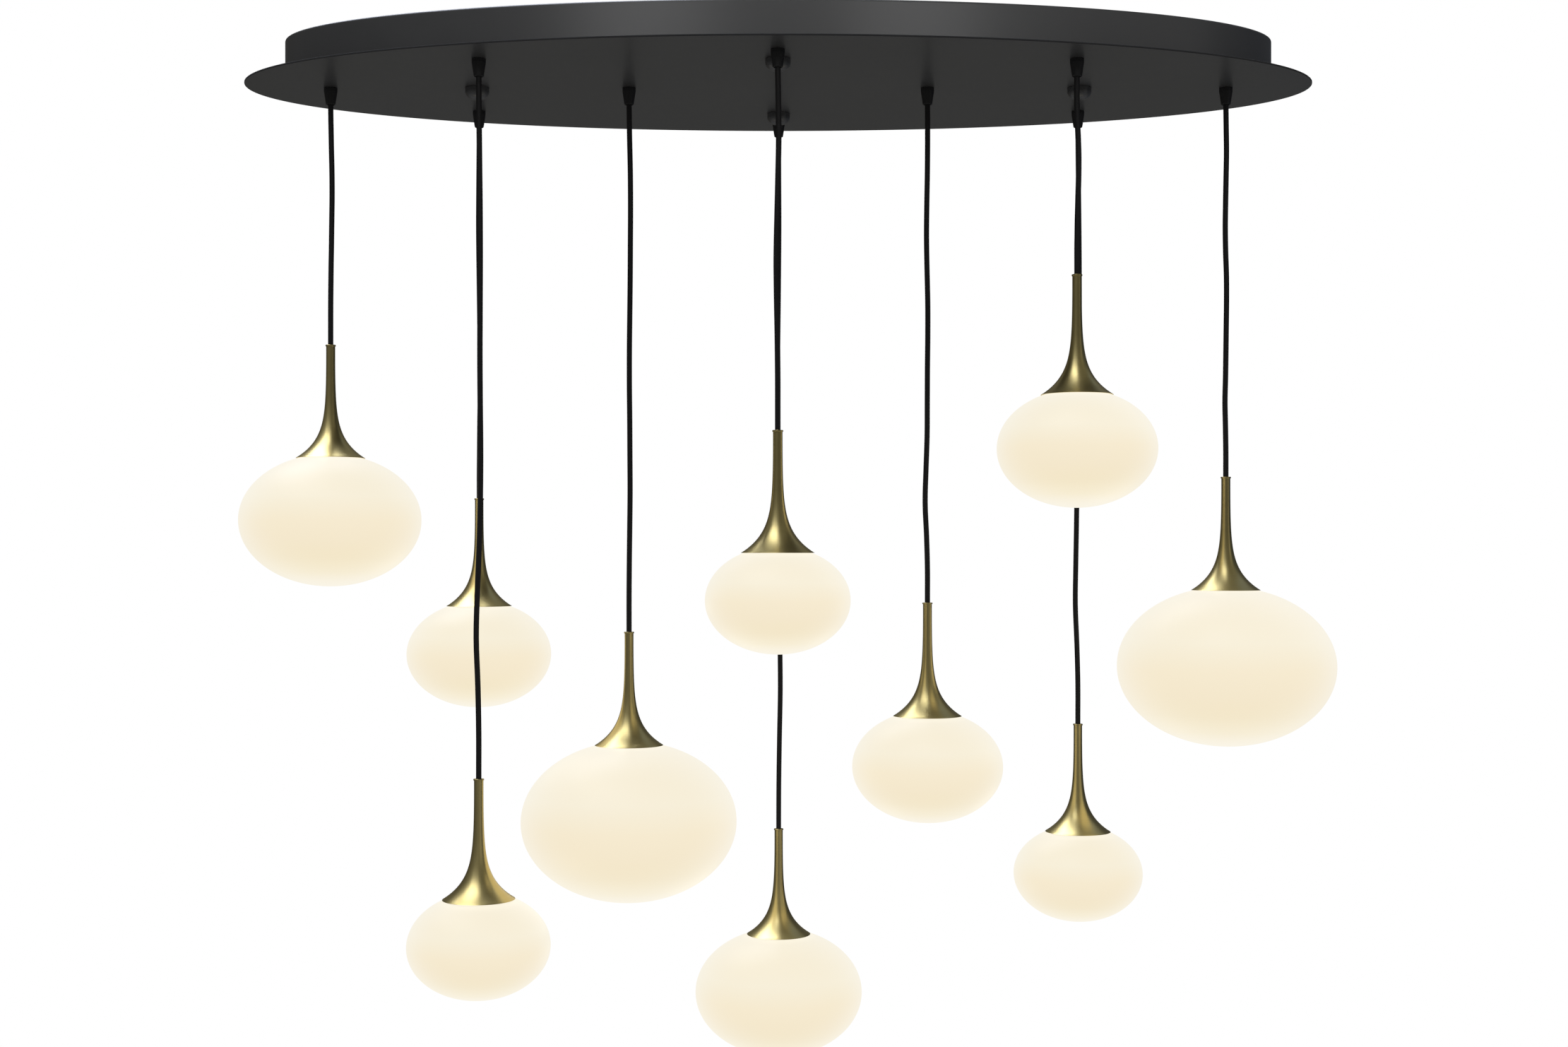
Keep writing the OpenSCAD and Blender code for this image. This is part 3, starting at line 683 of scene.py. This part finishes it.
CAP_RINGS = 56
outside = [(flare(k / CAP_RINGS), -CAP_H * k / CAP_RINGS)
           for k in range(CAP_RINGS) if CAP_H * k / CAP_RINGS > BEAD_H + 0.4]
inside = [(flare_in(k / CAP_RINGS), -CAP_H * k / CAP_RINGS)
          for k in range(CAP_RINGS - 1, 0, -2) if CAP_H * k / CAP_RINGS > GUIDE_H + 1]
rim_roll = [(RIM_R - 0.2, -CAP_H + 0.25), (RIM_R, -CAP_H + 0.05), (RIM_R - 0.25, -CAP_H),
            (flare_in(1) + 0.1, -CAP_H)]
bead = soften([
    (GUIDE_R, -GUIDE_H), (GUIDE_R, 0, 0.25), (STEM_R + BEAD_W, 0, 0.5),
    (STEM_R + BEAD_W, -BEAD_H, 0.45), (STEM_R, -BEAD_H, 0.2), (STEM_R, -BEAD_H - 1)])[:-1]
CAP_PROFILE = [*bead, *outside, *rim_roll, *inside, (flare_in(GUIDE_H / CAP_H), -GUIDE_H)]

BULB_R, BULB_TOP, BULB_HANG, PIN_R, PIN_X = 8, 17, 40, 0.9, 4.5
SOCKET_R, SOCKET_TOP, SOCKET_LOW = BULB_R + 0.25, BULB_TOP + 0.25, 9
BARREL_R, FLANGE_R = 9, flare_in(1 - FLANGE_TOP / CAP_H) - 0.25
SKIRT_R, SKIRT_T, SKIRT_LOW = NECK_R - GLASS_T - GLASS_GAP, 3.5, -1
SKIRT_PITCH, SKIRT_CUT = 2.6, 0.7
HOLDER_PROFILE = [
    *soften([
        (SOCKET_R, SOCKET_TOP), (0, SOCKET_TOP), (0, HOLDER_TOP),
        (GUIDE_R + 1.5, HOLDER_TOP, 0.8), (BARREL_R, HOLDER_TOP - 4, 1),
        (BARREL_R, FLANGE_TOP, 0.6), (FLANGE_R, FLANGE_TOP, 0.6), (FLANGE_R, FLANGE_Z, 0.4),
        (SKIRT_R, FLANGE_Z), (SKIRT_R, FLANGE_Z - 1), (SOCKET_R, SOCKET_LOW)])[:-1],
    *threaded(SKIRT_R, FLANGE_Z - 1.2, SKIRT_LOW + 0.6, SKIRT_PITCH, SKIRT_CUT),
    (SKIRT_R - 0.6, SKIRT_LOW), (SKIRT_R - SKIRT_T, SKIRT_LOW), (SKIRT_R - SKIRT_T, SOCKET_LOW),
    (SOCKET_R, SOCKET_LOW)]

BULB_PROFILE = [
    (0, BULB_TOP), (BULB_R - 0.4, BULB_TOP), (BULB_R, BULB_TOP - 0.4), (BULB_R, 8),
    (BULB_R - 0.5, 6.5), (BULB_R - 0.7, 4), (BULB_R - 0.4, 1), (BULB_R, -2), (BULB_R, -12),
    (BULB_R, -22),
    *[(BULB_R * math.cos(math.radians(6 * k)),
       -BULB_HANG + BULB_R - BULB_R * math.sin(math.radians(6 * k))) for k in range(15)],
    (0, -BULB_HANG)]


def globe_profile(a):
    """Outside, neck and inside of a globe of radius a, from pole to pole."""
    b = a * GLOBE_FLAT
    neck_top = rim_seat(a) + NECK_RISE
    shells = []
    for inset, steps in ((0, 56), (GLASS_T, 32)):
        radius, height, neck = a - inset, b - inset, NECK_R - inset
        end = math.acos((neck + 1.5) / radius)
        angles = [-math.pi / 2 + (end + math.pi / 2) * k / steps for k in range(steps + 1)]
        arc = [(max(0, radius * math.cos(v)), height * math.sin(v)) for v in angles]
        top = height * math.sin(end)
        arc[0] = (0, -height)
        shells.append([*arc, (neck + 0.5, top + 0.5), (neck, top + 1.6)])
    outer, inner = shells
    lip = soften([(NECK_R, 0), (NECK_R, neck_top, 1.2), (NECK_R - GLASS_T, neck_top, 1.2),
                  (NECK_R - GLASS_T, 0)])[1:-1]
    return [*outer, *lip, *reversed(inner)]


CAP_SIDES, GLOBE_SIDES, HOLDER_SIDES, BULB_SIDES, PIN_SIDES = 80, 96, 48, 32, 12
for number, (place, drop, globe_d, _, _) in enumerate(PENDANTS, 1):
    pendant, glass = f"pendant_{number}", f"glass_{number}"
    top, rim = (*place, cap_top(drop)), (*place, cap_top(drop) - CAP_H)

    bm = bmesh.new()
    turned(bm, CAP_PROFILE, CAP_SIDES)
    mesh_piece(f"brass_trumpet_{number}", bm, BRASS, pendant,
               [f"trumpet_cap_{number}"], top)

    bm = bmesh.new()
    turned(bm, globe_profile(globe_d / 2), GLOBE_SIDES)
    centre = (*place, cap_top(drop) - CAP_H - rim_seat(globe_d / 2))
    mesh_piece(f"opal_globe_{number}", bm, OPAL, glass, [f"globe_{number}"], centre)

    bm = bmesh.new()
    turned(bm, HOLDER_PROFILE, HOLDER_SIDES, pitch=SKIRT_PITCH)
    mesh_piece(f"ceramic_holder_{number}", bm, CERAMIC, pendant,
               [f"lamp_holder_{number}"], rim)

    bm = bmesh.new()
    turned(bm, BULB_PROFILE, BULB_SIDES)
    for side in (-PIN_X, PIN_X):
        turned(bm, [(0, 16), (PIN_R, 16), (PIN_R, 22.6), (0.6, 23), (0, 23)], PIN_SIDES, (side, 0))
    mesh_piece(f"capsule_bulb_{number}", bm, BULB, pendant, [f"bulb_{number}"], rim)

# Stage and light

FLOOR_Z, FLOOR_R = -2.6, 5.0
bm = bmesh.new()
rings = [[bm.verts.new((x, y, FLOOR_Z)) for x, y in circle(0, 0, r, 96)]
         for r in (1.0, 2.0, 3.0, 4.0, FLOOR_R)]
bm.faces.new(rings[0])
for first, second in zip(rings, rings[1:]):
    skin(bm, first, second)
bmesh.ops.recalc_face_normals(bm, faces=bm.faces)
mesh = bpy.data.meshes.new("floor")
bm.to_mesh(mesh)
bm.free()
floor = bpy.data.objects.new("floor", mesh)
f = new_finish("pale_floor")
where = f.place()
spread = f.node("ShaderNodeVectorMath", {"operation": "LENGTH"}, {0: where}, out="Value")
seen = f.node("ShaderNodeLightPath", out="Is Camera Ray") * f.between(spread, 3.4, 4.9)
matte = f.node("ShaderNodeBsdfDiffuse", None, {"Color": (0.86, 0.86, 0.855)})
white = f.node("ShaderNodeEmission", None, {"Color": (1, 1, 1), "Strength": 1.0})
mixed = f.node("ShaderNodeMixShader", None, {0: seen, 1: matte, 2: white})
f.node("ShaderNodeOutputMaterial", None, {"Surface": mixed})
floor.data.materials.append(f.owner)
scene.collection.objects.link(floor)

# The world is white to the camera and in reflections, and a little lower as light
WORLD_LIGHT = 0.72
world = bpy.data.worlds.new("studio")
scene.world = world
f = Finish(world)
seen = f.node("ShaderNodeLightPath", out="Is Camera Ray")
seen = seen + f.node("ShaderNodeLightPath", out="Is Glossy Ray")
seen = seen + f.node("ShaderNodeLightPath", out="Is Transmission Ray")
level = f.between(seen, 0.0, 1.0) * (1 - WORLD_LIGHT) + WORLD_LIGHT
sky = f.node("ShaderNodeBackground", None, {"Color": (1, 1, 1), "Strength": level})
f.node("ShaderNodeOutputWorld", None, {"Surface": sky})


def softbox(name, at, aim, width, height, watts, mirrored=True):
    data = bpy.data.lights.new(name, "AREA")
    data.shape = "RECTANGLE"
    data.size, data.size_y = width, height
    data.energy = watts
    lamp = bpy.data.objects.new(name, data)
    lamp.location = at
    lamp.rotation_mode = "QUATERNION"
    lamp.rotation_quaternion = (Vector(aim) - Vector(at)).to_track_quat("-Z", "Y")
    lamp.visible_glossy = mirrored
    scene.collection.objects.link(lamp)


MIDDLE = (0, 0, -0.7)
softbox("key_above", (0.9, -1.7, 2.4), MIDDLE, 2.4, 1.6, 26, mirrored=False)
softbox("front_left", (-0.84, -3.0, 0.82), (0, 0, 0), 0.8, 0.8, 6.5)
softbox("front_right", (0.84, -3.0, 0.82), (0, 0, 0), 0.8, 0.8, 6.5)
softbox("back_right", (2.2, 2.0, 1.3), MIDDLE, 1.4, 1.4, 9, mirrored=False)


def card(name, at, aim, width, height, level, shades=False):
    """A dim studio card that only reflections show: it gives the metal something to mirror. One
    that shades also keeps the lamps behind it off the pendants."""
    bm = bmesh.new()
    rows = [[bm.verts.new((x * width / 8, y * height / 8, 0)) for x in range(-4, 5)]
            for y in range(-4, 5)]
    for low, high in zip(rows, rows[1:]):
        for k in range(8):
            bm.faces.new((low[k], low[k + 1], high[k + 1], high[k]))
    mesh = bpy.data.meshes.new(name)
    bm.to_mesh(mesh)
    bm.free()
    f = new_finish(name)
    glow = f.node("ShaderNodeEmission", None, {"Color": level, "Strength": 1.0})
    f.node("ShaderNodeOutputMaterial", None, {"Surface": glow})
    mesh.materials.append(f.owner)
    obj = bpy.data.objects.new(name, mesh)
    obj.location = at
    obj.rotation_mode = "QUATERNION"
    obj.rotation_quaternion = (Vector(aim) - Vector(at)).to_track_quat("Z", "Y")
    for ray in ("camera", "diffuse", "transmission", "volume_scatter"):
        setattr(obj, f"visible_{ray}", False)
    obj.visible_shadow = shades
    scene.collection.objects.link(obj)


# A ring of cards round the pendants, then one in front of the canopy, and those above and below
CARD_AWAY, CARD_MID = 4.2, -0.9
for azimuth, level in (
        (0, (0.25, 0.25, 0.25)), (45, (0.45, 0.45, 0.45)), (90, (0.05, 0.06, 0.08)),
        (135, (0.06, 0.065, 0.075)), (180, (0.09, 0.09, 0.085)), (225, (0.07, 0.068, 0.06)),
        (270, (0.12, 0.12, 0.12)), (315, (0.16, 0.16, 0.16))):
    turn = math.radians(azimuth)
    at = (CARD_AWAY * math.sin(turn), -CARD_AWAY * math.cos(turn), CARD_MID)
    card(f"card_{azimuth}", at, (0, 0, CARD_MID), 3.6, 5.5, level)
card("card_front", (0, -0.72, -0.345), (0, 0, -0.345), 2.6, 0.75, (0.12, 0.12, 0.115), shades=True)
card("card_above", (0, 0, 9.1), (0, 0, 0), 40, 40, (0.18, 0.18, 0.17))
card("card_above_front_left", (-3.9, -3.4, 9), (-3.9, -3.4, 0), 7.8, 7.8, (3.6, 3.75, 4.3))
card("card_above_back_left", (-3.9, 4.4, 9), (-3.9, 4.4, 0), 7.8, 7.8, (5.0, 5.3, 6.2))
card("card_above_right", (8, 5, 9), (8, 5, 0), 7, 7, (0.24, 0.29, 0.40))
card("card_below", (0, 0, -2.5), (0, 0, 0), 9, 9, (0.24, 0.245, 0.262))
